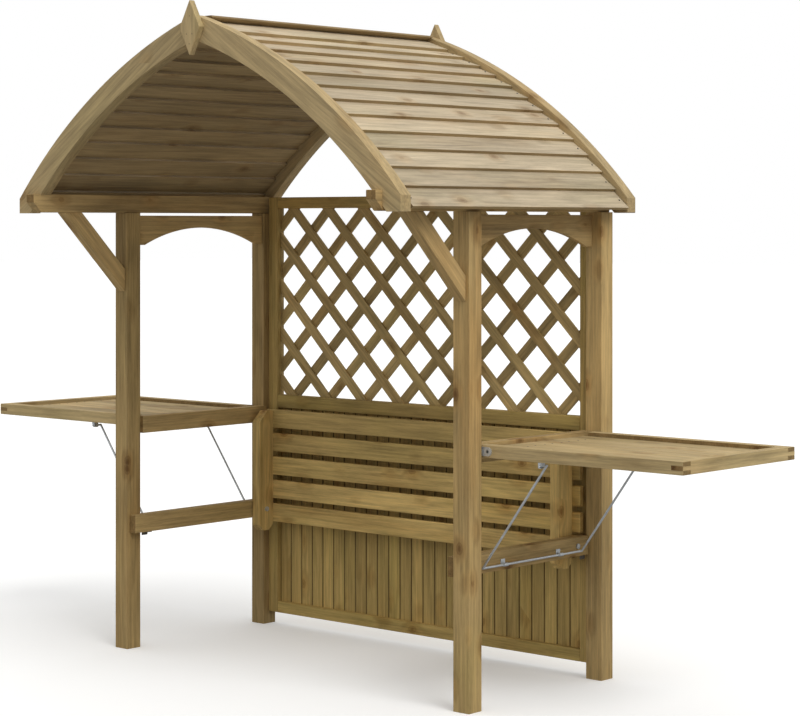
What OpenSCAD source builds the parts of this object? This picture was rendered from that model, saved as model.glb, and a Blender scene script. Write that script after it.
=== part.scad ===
// Garden arbour in sawn timber: a curved boarded roof on four posts, a lattice back,
// a slatted seat that folds up and two side tables that fold down on wire bails.
// The front faces -Y, the floor is Z = 0, and the model is centred in X and in Y.

/* [Posts] */
// Width over the outer faces of the posts
post_span = 1560; // [1300:10:1900]
// Depth over the outer faces of the posts
post_depth = 720; // [680:10:900]
// Side of a square post
post_side = 60; // [50:1:80]
// Height of a post, up to the underside of the eave beam
post_height = 1484; // [1440:2:1700]

/* [Eave beams and braces] */
// Width of an eave beam
beam_width = 38; // [30:1:50]
// Height of an eave beam
beam_height = 60; // [50:1:80]
// How far an eave beam runs forward past the posts
beam_overhang = 400; // [340:5:500]
// Height of the square end above the chamfer of the beam
beam_nose = 27; // [15:1:45]
// How far forward of the post a brace meets the underside of the beam
brace_reach = 268; // [200:2:320]
// Depth of a brace, measured square to its length
brace_depth = 55; // [40:1:70]

/* [Side arches] */
// Thickness of an arch board
arch_thickness = 16; // [10:1:24]
// Distance of an arch board from the inner face of the posts
arch_inset = 8; // [2:1:30]
// Height of an arch board at its ends
arch_end_height = 101; // [80:1:140]
// Height of an arch board at the crown of its curve
arch_crown_height = 42; // [25:1:60]
// Flat left beside the post at each end of the curve
arch_shoulder = 30; // [10:1:60]
// Gap between an arch board and the eave beam
arch_gap = 9; // [2:1:20]

/* [Gables] */
// How far a gable reaches past the outer face of the posts
gable_side_reach = 58; // [30:2:200]
// Height of the tip of a gable above the eave beams
gable_rise = 543; // [480:1:700]
// Gap between the roof boards and the outer top edge of an eave beam
roof_seat = 8; // [4:1:20]
// Radius of the outer edge of a bargeboard
roof_radius = 1825; // [1500:5:2400]
// Thickness of a bargeboard
barge_thickness = 44; // [30:1:55]
// Width of a bargeboard, measured square to its curve
barge_width = 72; // [60:1:90]
// Length of the plumb cut at the foot of a bargeboard
plumb_cut = 48; // [30:1:60]
// Gap between the face of the posts and the front gable
front_gable_reach = 328; // [280:2:380]

/* [Finials] */
// Height of a finial
finial_height = 170; // [120:1:240]
// Width of a finial
finial_width = 88; // [60:1:120]
// Thickness of a finial
finial_thickness = 22; // [15:1:35]
// How far a finial stands above the tip of the gable
finial_rise = 45; // [20:1:80]
// Share of the finial that lies above its widest part
finial_shoulder = 0.49; // [0.3:0.01:0.6]

/* [Roof boards] */
// Boards on each side of the roof
roof_board_count = 13; // [9:1:16]
// Thickness of a roof board
roof_board_thickness = 12; // [8:1:16]
// How much a roof board laps over the one below it
roof_lap = 16; // [8:1:30]
// How far the boards lie below the top edge of the bargeboards
roof_drop = 14; // [8:1:30]
// Step in height from one roof board to the next
roof_step = 11; // [4:1:12]
// How far the lowest roof board hangs past the bargeboards
drip_overhang = 19; // [5:1:40]
// Distance of the highest board's lower edge from the ridge
top_board_edge = 97; // [80:1:120]
// Width of the ridge board
ridge_width = 60; // [40:1:90]
// Height of the ridge board
ridge_height = 24; // [15:1:40]

/* [Back panel] */
// Thickness of the back panel
panel_thickness = 34; // [28:1:44]
// Width of a stile of the back panel
stile_width = 44; // [34:1:60]
// Gap under the back panel
panel_ground_gap = 44; // [20:1:80]
// Height of the bottom rail of the back panel
bottom_rail_height = 40; // [30:1:60]
// Height of the middle rail's lower edge above the floor
mid_rail_level = 784; // [700:1:900]
// Height of the middle rail
mid_rail_height = 46; // [34:1:60]
// Height of the top rail
top_rail_height = 40; // [30:1:60]
// How far the top rail stands above the posts
top_rail_rise = 58; // [45:1:80]
// Width of a vertical board
cladding_pitch = 52; // [40:1:80]
// Thickness of the vertical boards
cladding_thickness = 12; // [8:1:16]
// Depth of the groove between two vertical boards
cladding_groove = 3; // [1:0.5:5]
// How far the vertical boards lie inside the back face of the panel
cladding_inset = 4; // [0:1:12]
// Depth of the rebate that holds the lattice in the stiles and rails
lattice_rebate = 6; // [4:1:12]

/* [Lattice] */
// Spacing of the lattice crossings along a level line
lattice_pitch = 169.5; // [130:0.5:220]
// Width of a lattice strip
lattice_strip = 35; // [20:1:45]
// Thickness of a lattice strip
lattice_thickness = 8; // [5:1:10]
// Sideways place of a crossing near the middle of the lattice
lattice_shift_x = -24; // [-80:1:80]
// Height of a crossing above the middle rail
lattice_shift_z = 79; // [-85:1:85]

/* [Seat] */
// Thickness of a rail that carries the seat
seat_rail_thickness = 40; // [32:1:46]
// How far that rail stands out between the posts, past their inner faces
seat_rail_lap = 10; // [4:1:14]
// Height of a rail that carries the seat
seat_rail_height = 60; // [50:1:80]
// Height of the upper edge of that rail above the floor
seat_rail_top = 456; // [450:1:520]
// Distance of the front end of that rail from the face of the post
seat_rail_inset = 10; // [0:1:40]
// Distance of the seat pivot from the back face of the posts
seat_pivot_inset = 119; // [110:1:160]
// Height of the seat pivot below the upper edge of the rail
seat_pivot_drop = 28; // [22:1:36]
// Slats in the seat
slat_count = 5; // [3:1:6]
// Width of a slat
slat_width = 65; // [45:1:75]
// Gap between two slats
slat_gap = 19; // [8:1:30]
// Thickness of a slat
slat_thickness = 18; // [14:1:24]
// Depth of a seat batten
batten_depth = 68; // [56:1:76]
// Thickness of a seat batten
batten_thickness = 36; // [26:1:44]
// Gap between a batten and the rail beside it
batten_gap = 6; // [5:1:12]
// Chamfer at the top of a batten
batten_chamfer = 40; // [10:1:50]
// Chamfers at the foot of a batten
batten_heel_chamfer = 20; // [15:1:30]
// How far the lowest slat reaches below the pivot
slat_drop = 48; // [30:1:50]
// How far a batten runs below the pivot
batten_tail = 76; // [60:1:90]
// How far the highest slat stands above a batten
slat_stand = 2; // [0:0.5:10]
// Diameter of the seat pivot bolts
bolt_diameter = 10; // [6:0.5:14]
// Width of a bolt's head over its corners
bolt_head_width = 18; // [15:0.5:22]
// Height of a bolt's head
bolt_head_height = 5; // [4:0.5:6]

/* [Side tables] */
// Height of the top of a table's frame above the floor
table_top_height = 790; // [720:1:830]
// How far a table reaches past the posts
table_reach = 707; // [500:1:720]
// Side of a square frame rail of the table
table_rail = 38; // [30:1:50]
// Distance of the cross rail under the boards from the outer face of the posts
cross_rail_inset = 32; // [25:1:60]
// How far the surface boards lie below the top of the frame
board_recess = 12; // [4:1:18]
// Boards in the surface of a table
table_board_count = 6; // [4:1:9]
// Thickness of a surface board
table_board_thickness = 12; // [8:1:16]
// Gap between two surface boards
table_board_gap = 3; // [2:0.5:6]
// Thickness of the fixed ledger between the posts
ledger_thickness = 38; // [30:1:45]
// Height of the fixed ledger
ledger_height = 58; // [45:1:70]
// Gap between a table rail and the posts on each side of it
table_side_gap = 9; // [8:0.5:14]
// Distance of the table's pivot outwards from the posts' inner face
pivot_offset = 50; // [46:1:52]
// Length of a table rail inwards from its pivot
rail_end = 8; // [8:0.5:14]
// Height of the table's pivot below the top of the frame
pivot_drop = 19; // [17:1:21]
// Diameter of the table's pivot pins
pin_diameter = 8; // [6:0.5:10]
// How deep a pivot pin sits in its post
pin_embed = 40; // [20:1:55]
// How deep a pivot pin reaches into its table rail
pin_reach = 20; // [10:1:30]

/* [Straps and bails] */
// Height of a metal strap
strap_height = 27; // [20:1:34]
// Thickness of a metal strap
strap_thickness = 3; // [2:0.5:4]
// Length of a strap past its pin
strap_reach = 41; // [30:1:80]
// Diameter of the bail wire
wire_diameter = 7; // [6:0.5:9]
// Gap between the floor and a bail that hangs down
bail_floor_gap = 4.5; // [3:0.5:20]
// Distance of the hooks below the underside of the table's frame
hook_drop = 11.5; // [6:0.5:14]
// Distance of the bail's hinge below the upper edge of the seat rail
bail_hinge_drop = 42; // [36:1:44]
// Gap between the bail's hinge line and the face of the seat rail
bail_standoff = 12; // [10:0.5:12.5]
// Distance of a bail's bend from the outer face of the nearest post
bail_side_inset = 112; // [105:1:160]
// Length of the hook at the free end of a bail
hook_length = 35; // [25:1:40]
// Distance of a clip from the outer face of the nearest post
clip_inset = 222; // [180:1:280]
// Width of a clip
clip_width = 20; // [12:1:30]
// Wall of a clip, and of a catch
clip_wall = 2; // [1.5:0.1:3]
// Height of a clip's tab above the bail's hinge
clip_tab = 16; // [10:1:24]
// Width of a catch along its rail
catch_width = 18; // [12:1:24]

/* [Fits] */
// Radial clearance of a pin in its hole
pin_clearance = 0.05; // [0.02:0.01:0.1]
// Clearance each side of the wire in a catch
catch_clearance = 0.6; // [0.4:0.1:1.2]
// Gap between a moving piece and a fixed one
running_gap = 5; // [3:0.5:8]
// Gap between a bolt's head or nut and the wood that turns beside it
head_gap = 0.3; // [0.2:0.05:0.5]
// Gap between the seat rail and the slats of the folded seat
slat_rest_gap = 6; // [5:0.5:10]

/* [Hidden] */
$fn = 64;
// Overlap that makes a cut come out cleanly
cut = 1;

// Places along Y, from the whole depth of the model
whole_depth = beam_overhang + post_depth + barge_thickness + finial_thickness;
y_post = beam_overhang - whole_depth / 2;
y_back = y_post + post_depth;
y_beam_front = y_post - beam_overhang;
y_gable_rear = y_post - front_gable_reach;
y_gable_front = y_gable_rear - barge_thickness;
y_mid_post = (y_post + y_back) / 2;
y_panel = y_back - panel_thickness;

// Places along X, on the right-hand side
x_post = post_span / 2;
x_post_in = x_post - post_side;
x_post_mid = x_post - post_side / 2;

// Circle that the outer edge of the right-hand bargeboards follows: it goes through the
// tip of the gable, and the boards' underside, inside it, clears the edge of the eave beam
beam_top = post_height + beam_height;
gable_half_width = x_post + gable_side_reach;
gable_apex_height = beam_top + gable_rise;
roof_outer = roof_radius - roof_drop;
roof_under = roof_outer - roof_board_thickness - roof_step;
beam_edge = [x_post_mid + beam_width / 2, beam_top + roof_seat];
apex_to_beam = beam_edge - [0, gable_apex_height];
beam_distance = norm(apex_to_beam);
arc_along = (pow(roof_radius, 2) - pow(roof_under, 2) + pow(beam_distance, 2))
    / (2 * beam_distance);
arc_aside = sqrt(pow(roof_radius, 2) - pow(arc_along, 2));
arc_x = (apex_to_beam[0] * arc_along + apex_to_beam[1] * arc_aside) / beam_distance;
arc_z = gable_apex_height
    + (apex_to_beam[1] * arc_along - apex_to_beam[0] * arc_aside) / beam_distance;
eave_tip_height = arc_z + sqrt(pow(roof_radius, 2) - pow(gable_half_width - arc_x, 2));

// Angles of the roof boards' lower edges, from the upright through the arc's centre
roof_low_angle = asin((gable_half_width + drip_overhang - arc_x) / roof_radius);
roof_high_angle = asin((top_board_edge - arc_x) / roof_outer);
roof_pitch_angle = (roof_low_angle - roof_high_angle) / (roof_board_count - 1);
roof_lap_angle = roof_lap / roof_outer * 180 / PI;
ridge_angle = asin(-arc_x / roof_outer);

// Seat
x_rail_out = x_post_in + seat_rail_lap;
x_seat_rail = x_rail_out - seat_rail_thickness;
x_batten_out = x_seat_rail - batten_gap;
x_batten = x_batten_out - batten_thickness;
y_pivot = y_back - seat_pivot_inset;
z_pivot = seat_rail_top - seat_pivot_drop;
slat_stack = slat_count * slat_width + (slat_count - 1) * slat_gap;
slat_pitch = slat_width + slat_gap;
// A slat lies this far behind the pivot, so that it rests above the rail when folded down
slat_offset = seat_pivot_drop + slat_rest_gap;
slat_low = z_pivot - slat_drop;

// Tables
z_table_low = table_top_height - table_rail;
x_table_out = x_post + table_reach;
x_cross = x_post + cross_rail_inset;
table_half_depth = post_depth / 2 - post_side - table_side_gap;
x_pin = x_post_in + pivot_offset;
z_pin = table_top_height - pivot_drop;
x_table_in = x_pin - rail_end;
end_sweep = norm([rail_end, max(pivot_drop, table_rail - pivot_drop)]);
x_ledger = x_pin - end_sweep - running_gap;
z_board_top = table_top_height - board_recess;
z_board_low = z_board_top - table_board_thickness;
// The boards run in towards the ledger as far as they can without striking it when they turn
board_sweep = max(abs(z_board_top - z_pin), abs(z_board_low - z_pin));
x_board_in = x_pin - sqrt(pow(end_sweep, 2) - pow(board_sweep, 2));
x_board_out = x_table_out - table_rail;
board_span = 2 * (table_half_depth - table_rail);
board_pitch = (board_span - table_board_gap) / table_board_count;

// Bails
wire_radius = wire_diameter / 2;
x_bail = x_rail_out + bail_standoff;
bail_half_depth = post_depth / 2 - bail_side_inset;
z_bail = seat_rail_top - bail_hinge_drop;
z_hook = z_table_low - hook_drop;
// The arms are as long as they can be, to hang clear of the floor
bail_arm = z_bail - wire_radius - bail_floor_gap;
hook_reach = sqrt(pow(bail_arm, 2) - pow(z_hook - z_bail, 2));
x_hook = x_bail + hook_reach;
catch_slot = wire_radius + catch_clearance;
// How far the balls at the bends stand proud of the wire
bend_swell = 0.05;

// Turn of a bail for each degree of its table, so that both end up hanging straight down
bail_ratio = (180 - atan2(hook_reach, z_hook - z_bail)) / 90;
// Slope of the way in which the hooks leave the catches, seen from the turning table
catch_lean = atan2(
    bail_ratio * hook_reach - (x_hook - x_pin),
    bail_ratio * (z_hook - z_bail) - (z_hook - z_pin));

// Draws its children in the upright plane of X and Z, from y0 back by depth
module upright(y0, depth) {
    translate([0, y0 + depth, 0]) rotate([90, 0, 0]) linear_extrude(depth) children();
}

// Draws its children, given as [Y, Z] points, from x0 by thickness
module side_plate(x0, thickness) {
    translate([x0, 0, 0]) rotate([90, 0, 90]) linear_extrude(thickness) children();
}

// Mirrors its children to the left-hand side where side is -1
module on_side(side) {
    mirror([side < 0 ? 1 : 0, 0, 0]) children();
}

module post(y0) {
    translate([x_post_in, y0, 0]) cube([post_side, post_side, post_height]);
}

// Pivot pin for the table's front rail, from inside the front post
module pin(length_past_post) {
    translate([x_pin, y_post + post_side - pin_embed, z_pin]) rotate([-90, 0, 0])
        cylinder(d = pin_diameter, h = pin_embed + length_past_post);
}

// Turns its children end for end, from the front posts to the back posts
module at_back() {
    translate([0, 2 * y_mid_post, 0]) mirror([0, 1, 0]) children();
}

// Front post with the blind hole of its pivot pin
module drilled_post() {
    difference() {
        post(y_post);
        pin(cut);
    }
}

module eave_beam() {
    side_plate(x_post_mid - beam_width / 2, beam_width) polygon([
        [y_beam_front + beam_height - beam_nose, post_height],
        [y_beam_front, beam_top - beam_nose],
        [y_beam_front, beam_top],
        [y_back, beam_top],
        [y_back, post_height]
    ]);
}

module brace() {
    slope_depth = brace_depth * sqrt(2);
    side_plate(x_post_mid - beam_width / 2, beam_width) polygon([
        [y_post - brace_reach, post_height],
        [y_post - brace_reach + slope_depth, post_height],
        [y_post, post_height - brace_reach + slope_depth],
        [y_post, post_height - brace_reach]
    ]);
}

module arch_board() {
    z_top = post_height - arch_gap;
    half_span = (post_depth - 2 * post_side) / 2;
    half_arc = half_span - arch_shoulder;
    sagitta = arch_end_height - arch_crown_height;
    radius = (half_arc * half_arc + sagitta * sagitta) / (2 * sagitta);
    x0 = x_post_in + arch_inset;
    difference() {
        translate([x0, y_mid_post - half_span, z_top - arch_end_height])
            cube([arch_thickness, 2 * half_span, arch_end_height]);
        translate([x0 - cut, y_mid_post, z_top - arch_crown_height - radius])
            rotate([0, 90, 0]) cylinder(r = radius, h = arch_thickness + 2 * cut, $fn = 180);
    }
}

// Point at an angle and a radius on the arc of the right-hand slope
function arc_point(angle, radius) = [arc_x + radius * sin(angle), arc_z + radius * cos(angle)];

// Outline of the right-hand bargeboard, before its notch
module barge_outline() {
    far = 2 * gable_apex_height;
    intersection() {
        difference() {
            translate([arc_x, arc_z]) circle(r = roof_radius, $fn = 360);
            translate([arc_x, arc_z]) circle(r = roof_radius - barge_width, $fn = 360);
        }
        translate([0, eave_tip_height - plumb_cut]) square([gable_half_width, far]);
    }
}

module bargeboard(y0, notched) {
    difference() {
        upright(y0, barge_thickness) barge_outline();
        if (notched) translate([x_post_mid - beam_width / 2, y0 - cut, 0])
            cube([beam_width, barge_thickness + 2 * cut, beam_top]);
    }
}

module finial(y0) {
    z_top = gable_apex_height + finial_rise;
    z_wide = z_top - finial_height * finial_shoulder;
    upright(y0, finial_thickness) polygon([
        [0, z_top],
        [finial_width / 2, z_wide],
        [0, z_top - finial_height],
        [-finial_width / 2, z_wide]
    ]);
}

// Angle of the lower edge of roof board i, counted from the eave; the ridge comes last
function board_angle(i) = i < roof_board_count ? roof_low_angle - i * roof_pitch_angle
    : ridge_angle - 1;

// Top face of the boards, one step down per board, from the eave to past the ridge
function roof_top_points() = [
    for (i = [0 : roof_board_count - 1]) each [
        arc_point(board_angle(i), roof_outer),
        arc_point(board_angle(i + 1), roof_outer - (i < roof_board_count - 1 ? roof_step : 0))
    ]
];

// Underside of the boards, from past the ridge back to the eave
function roof_under_points() = [
    for (k = [1 : roof_board_count]) let (i = roof_board_count - k) each [
        arc_point(board_angle(i + 1) - (i < roof_board_count - 1 ? roof_lap_angle : 0),
            i < roof_board_count - 1 ? roof_under : roof_outer - roof_board_thickness),
        arc_point(board_angle(i) - (i > 0 ? roof_lap_angle : 0),
            roof_outer - roof_board_thickness)
    ]
];

module roof_section() {
    intersection() {
        polygon(concat(roof_top_points(), roof_under_points()));
        square([2 * gable_half_width, 2 * gable_apex_height]);
    }
}

module roof_boards() {
    upright(y_gable_rear, y_back - y_gable_rear) roof_section();
}

// Everything below the top face of the right-hand slope
module below_roof() {
    top = roof_top_points();
    polygon(concat(top, [[top[len(top) - 1][0], 0], [top[0][0], 0]]));
}

module ridge_board() {
    depth = ridge_height + roof_drop;
    color("#c9b68f")
        upright(y_gable_rear, y_back - y_gable_rear) difference() {
            translate([-ridge_width / 2, gable_apex_height - depth])
                square([ridge_width, depth]);
            below_roof();
            mirror([1, 0]) below_roof();
        }
}

// Back panel
z_panel_top = post_height + top_rail_rise;
x_panel = x_post_in;
x_panel_open = x_panel - stile_width;
z_lower = panel_ground_gap + bottom_rail_height;
z_mid_top = mid_rail_level + mid_rail_height;
z_top_rail = z_panel_top - top_rail_height;

// Opening of the lattice, grown on every side
module lattice_field(grow) {
    translate([-x_panel_open - grow, z_mid_top - grow])
        square([2 * (x_panel_open + grow), z_top_rail - z_mid_top + 2 * grow]);
}

// Rebate in the back of the stiles and rails, in which the edge of the lattice lies
module rebate() {
    upright(y_back - 2 * lattice_thickness, 2 * lattice_thickness + cut)
        lattice_field(lattice_rebate);
}

module panel_stile() {
    difference() {
        translate([x_panel_open, y_panel, panel_ground_gap])
            cube([stile_width, panel_thickness, z_panel_top - panel_ground_gap]);
        rebate();
    }
}

module panel_rail(z0, height) {
    color("#8d7a52") difference() {
        translate([-x_panel_open, y_panel, z0])
            cube([2 * x_panel_open, panel_thickness, height]);
        rebate();
    }
}

// One family of parallel strips at 45 degrees, tied along their ends; turn is 1 or -1
module lattice_layer(y0, turn) {
    step = lattice_pitch / sqrt(2);
    reach = x_panel_open + z_top_rail;
    count = ceil(reach / step);
    upright(y0, lattice_thickness) {
        intersection() {
            lattice_field(lattice_rebate);
            translate([lattice_shift_x, z_mid_top + lattice_shift_z]) rotate(turn * 45)
                for (i = [-count : count])
                    translate([-reach, i * step - lattice_strip / 2])
                        square([2 * reach, lattice_strip]);
        }
        difference() {
            lattice_field(lattice_rebate);
            lattice_field(0);
        }
    }
}

module panel_lattice() {
    color("#7d6a42") {
        lattice_layer(y_back - lattice_thickness, 1);
        lattice_layer(y_back - 2 * lattice_thickness, -1);
    }
}

module panel_boards() {
    count = round(2 * x_panel_open / cladding_pitch);
    pitch = 2 * x_panel_open / count;
    y0 = y_back - cladding_thickness - cladding_inset;
    color("#8a7850") translate([0, 0, z_lower])
        linear_extrude(mid_rail_level - z_lower)
            for (i = [0 : count - 1]) translate([-x_panel_open + i * pitch, y0]) polygon([
                [0, cladding_groove],
                [cladding_groove, 0],
                [pitch - cladding_groove, 0],
                [pitch, cladding_groove],
                [pitch, cladding_thickness],
                [0, cladding_thickness]
            ]);
}

// Rails between the posts
module seat_rail() {
    y0 = y_post + seat_rail_inset;
    z0 = seat_rail_top - seat_rail_height;
    difference() {
        union() {
            translate([x_seat_rail, y0, z0])
                cube([x_post_in - x_seat_rail, y_panel - running_gap - y0, seat_rail_height]);
            translate([x_seat_rail, y_post + post_side, z0])
                cube([seat_rail_thickness, post_depth - 2 * post_side, seat_rail_height]);
        }
        translate([x_seat_rail - cut, y_pivot, z_pivot]) rotate([0, 90, 0])
            cylinder(d = bolt_diameter, h = seat_rail_thickness + 2 * cut);
    }
}

module table_ledger() {
    translate([x_ledger - ledger_thickness, y_post + post_side, table_top_height - ledger_height])
        cube([ledger_thickness, post_depth - 2 * post_side, ledger_height]);
}

// Seat
module seat_bolt() {
    x_nut = x_batten - head_gap;
    translate([x_nut, y_pivot, z_pivot]) rotate([0, 90, 0]) {
        cylinder(d = bolt_diameter, h = x_rail_out - x_nut);
        translate([0, 0, x_rail_out - x_nut])
            cylinder(d = bolt_head_width, h = bolt_head_height, $fn = 6);
        translate([0, 0, -bolt_head_height])
            cylinder(d = bolt_head_width, h = bolt_head_height, $fn = 6);
    }
}

module seat_batten() {
    y0 = y_pivot - batten_depth / 2;
    y1 = y_pivot + slat_offset;
    z0 = z_pivot - batten_tail;
    z1 = slat_low + slat_stack - slat_stand;
    difference() {
        side_plate(x_batten, batten_thickness) polygon([
            [y0 + batten_heel_chamfer, z0],
            [y1 - batten_heel_chamfer, z0],
            [y1, z0 + batten_heel_chamfer],
            [y1, z1],
            [y0 + batten_chamfer, z1],
            [y0, z1 - batten_chamfer],
            [y0, z0 + batten_heel_chamfer]
        ]);
        translate([x_batten - cut, y_pivot, z_pivot]) rotate([0, 90, 0])
            cylinder(d = bolt_diameter + 2 * pin_clearance, h = batten_thickness + 2 * cut);
    }
}

// Half length of slat i: short where it would meet the seat rail or the ledger
function slat_half(i) =
    slat_low + i * slat_pitch < seat_rail_top
    || slat_low + i * slat_pitch + slat_width > table_top_height - ledger_height - running_gap
    ? x_batten_out : x_post_in - running_gap;

module seat_slats() {
    color("#a08a5c")
        for (i = [0 : slat_count - 1])
            translate([-slat_half(i), y_pivot + slat_offset, slat_low + i * slat_pitch])
                cube([2 * slat_half(i), slat_thickness, slat_width]);
}

// Tables
module table_side_rail() {
    difference() {
        translate([x_table_in, y_mid_post - table_half_depth, z_table_low])
            cube([x_table_out - x_table_in, table_rail, table_rail]);
        pin_hole(table_rail);
    }
}

// Hole for the pivot pin, from the outer face of the front rail's strap inwards
module pin_hole(depth) {
    translate([x_pin, y_post + post_side, z_pin]) rotate([-90, 0, 0])
        cylinder(d = pin_diameter + 2 * pin_clearance, h = table_side_gap + depth + cut);
}

module table_frame() {
    table_side_rail();
    at_back() table_side_rail();
    translate([x_board_out, y_mid_post - table_half_depth, z_table_low])
        cube([table_rail, 2 * table_half_depth, table_rail]);
    translate([x_cross, y_mid_post - table_half_depth, z_table_low])
        cube([table_rail, 2 * table_half_depth, z_board_low - z_table_low]);
}

module table_boards() {
    y0 = y_mid_post - board_span / 2 + table_board_gap;
    for (i = [0 : table_board_count - 1])
        translate([x_board_in, y0 + i * board_pitch, z_board_low])
            cube([x_board_out - x_board_in, board_pitch - table_board_gap, table_board_thickness]);
}

// Strap on the outer face of the front table rail, drilled for the pin
module strap() {
    straight = strap_reach - strap_height / 2;
    difference() {
        translate([x_pin, y_mid_post - table_half_depth, z_pin]) rotate([90, 0, 0]) {
            cylinder(d = strap_height, h = strap_thickness);
            translate([straight, 0, 0]) cylinder(d = strap_height, h = strap_thickness);
            translate([0, -strap_height / 2, 0])
                cube([straight, strap_height, strap_thickness]);
        }
        pin_hole(0);
    }
}

// Spring catch under the front rail: a block with a slot that lets the wire out and down
module catch() {
    y0 = y_mid_post - bail_half_depth - hook_length;
    outer = catch_slot + clip_wall;
    difference() {
        translate([x_hook - outer, y0, z_hook - outer])
            cube([2 * outer, catch_width, hook_drop + outer]);
        translate([x_hook, y0 - cut, z_hook]) rotate([-90, 0, 0]) {
            cylinder(r = catch_slot, h = catch_width + 2 * cut);
            rotate([0, 0, catch_lean]) translate([0, -catch_slot, 0])
                cube([2 * outer, 2 * catch_slot, catch_width + 2 * cut]);
        }
    }
}

module table_straps() {
    strap();
    catch();
    at_back() strap();
    at_back() catch();
}

module table_pivot_pins() {
    color("#9a9c9c")
        for (side = [-1, 1]) on_side(side) {
            pin(table_side_gap + pin_reach);
            at_back() pin(table_side_gap + pin_reach);
        }
}

// Bails, with the wire's bends as balls
module wire(from, to) {
    d = to - from;
    length = norm(d);
    translate(from) rotate([0, acos(d[2] / length), atan2(d[1], d[0])])
        cylinder(r = wire_radius, h = length);
    translate(from) sphere(r = wire_radius + bend_swell);
    translate(to) sphere(r = wire_radius + bend_swell);
}

module bail() {
    low_front = [x_bail, y_mid_post - bail_half_depth, z_bail];
    low_back = [x_bail, y_mid_post + bail_half_depth, z_bail];
    arm = [hook_reach, 0, z_hook - z_bail];
    hook = [0, hook_length, 0];
    wire(low_front, low_back);
    wire(low_front, low_front + arm);
    wire(low_back, low_back + arm);
    wire(low_front + arm, low_front + arm - hook);
    wire(low_back + arm, low_back + arm + hook);
}

// Clip that holds the lower run of a bail to the seat rail: a ring on a web and a tab
module clip() {
    inner = wire_radius + pin_clearance;
    y0 = y_post + clip_inset - clip_width / 2;
    difference() {
        union() {
            translate([x_bail, y0, z_bail]) rotate([-90, 0, 0])
                cylinder(r = inner + clip_wall, h = clip_width);
            translate([x_rail_out, y0, z_bail - clip_wall / 2])
                cube([bail_standoff, clip_width, clip_wall]);
            translate([x_rail_out, y0, z_bail - clip_wall / 2])
                cube([clip_wall, clip_width, clip_wall / 2 + clip_tab]);
        }
        translate([x_bail, y0 - cut, z_bail]) rotate([-90, 0, 0])
            cylinder(r = inner, h = clip_width + 2 * cut);
    }
}

module bail_clips() {
    color("#9a9c9c")
        for (side = [-1, 1]) on_side(side) {
            clip();
            at_back() clip();
        }
}

module seat_pivot_bolts() {
    color("#9a9c9c") for (side = [-1, 1]) on_side(side) seat_bolt();
}

module front_left_post() { color("#8f7d55") on_side(-1) drilled_post(); }
module front_right_post() { color("#8f7d55") drilled_post(); }
module back_left_post() { color("#8f7d55") on_side(-1) at_back() drilled_post(); }
module back_right_post() { color("#8f7d55") at_back() drilled_post(); }
module left_eave_beam() { color("#a8966a") on_side(-1) eave_beam(); }
module right_eave_beam() { color("#a8966a") eave_beam(); }
module left_brace() { color("#a08a5c") on_side(-1) brace(); }
module right_brace() { color("#a08a5c") brace(); }
module left_arch_board() { color("#94825a") on_side(-1) arch_board(); }
module right_arch_board() { color("#94825a") arch_board(); }
module front_left_bargeboard() { color("#a8966a") on_side(-1) bargeboard(y_gable_front, true); }
module front_right_bargeboard() { color("#a8966a") bargeboard(y_gable_front, true); }
module back_left_bargeboard() { color("#a8966a") on_side(-1) bargeboard(y_back, false); }
module back_right_bargeboard() { color("#a8966a") bargeboard(y_back, false); }
module front_finial() { color("#9c8a5e") finial(y_gable_front - finial_thickness); }
module back_finial() { color("#9c8a5e") finial(y_back + barge_thickness); }
module left_roof_boards() { color("#c3b28c") on_side(-1) roof_boards(); }
module right_roof_boards() { color("#c3b28c") roof_boards(); }
module left_panel_stile() { color("#8d7a52") on_side(-1) panel_stile(); }
module right_panel_stile() { color("#8d7a52") panel_stile(); }
module panel_bottom_rail() { panel_rail(panel_ground_gap, bottom_rail_height); }
module panel_mid_rail() { panel_rail(mid_rail_level, mid_rail_height); }
module panel_top_rail() { panel_rail(z_top_rail, top_rail_height); }
module left_seat_rail() { color("#8f7d55") on_side(-1) seat_rail(); }
module right_seat_rail() { color("#8f7d55") seat_rail(); }
module left_table_ledger() { color("#8f7d55") on_side(-1) table_ledger(); }
module right_table_ledger() { color("#8f7d55") table_ledger(); }
module left_seat_batten() { color("#a08a5c") on_side(-1) seat_batten(); }
module right_seat_batten() { color("#a08a5c") seat_batten(); }
module left_table_frame() { color("#ac9a6c") on_side(-1) table_frame(); }
module right_table_frame() { color("#ac9a6c") table_frame(); }
module left_table_boards() { color("#b4a276") on_side(-1) table_boards(); }
module right_table_boards() { color("#b4a276") table_boards(); }
module left_table_straps() { color("#9a9c9c") on_side(-1) table_straps(); }
module right_table_straps() { color("#9a9c9c") table_straps(); }
module left_bail() { color("#9a9c9c") on_side(-1) bail(); }
module right_bail() { color("#9a9c9c") bail(); }

front_left_post();
front_right_post();
back_left_post();
back_right_post();
left_eave_beam();
right_eave_beam();
left_brace();
right_brace();
left_arch_board();
right_arch_board();
front_left_bargeboard();
front_right_bargeboard();
back_left_bargeboard();
back_right_bargeboard();
front_finial();
back_finial();
left_roof_boards();
right_roof_boards();
ridge_board();
left_panel_stile();
right_panel_stile();
panel_bottom_rail();
panel_mid_rail();
panel_top_rail();
panel_lattice();
panel_boards();
left_seat_rail();
right_seat_rail();
left_table_ledger();
right_table_ledger();
seat_pivot_bolts();
left_seat_batten();
right_seat_batten();
seat_slats();
table_pivot_pins();
bail_clips();
left_table_frame();
left_table_boards();
left_table_straps();
left_bail();
right_table_frame();
right_table_boards();
right_table_straps();
right_bail();
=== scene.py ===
"""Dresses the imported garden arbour: eased timber boards, grain, nails and galvanised metalwork."""

import math
import random

import bmesh
import bpy
from mathutils import Matrix, Vector


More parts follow.
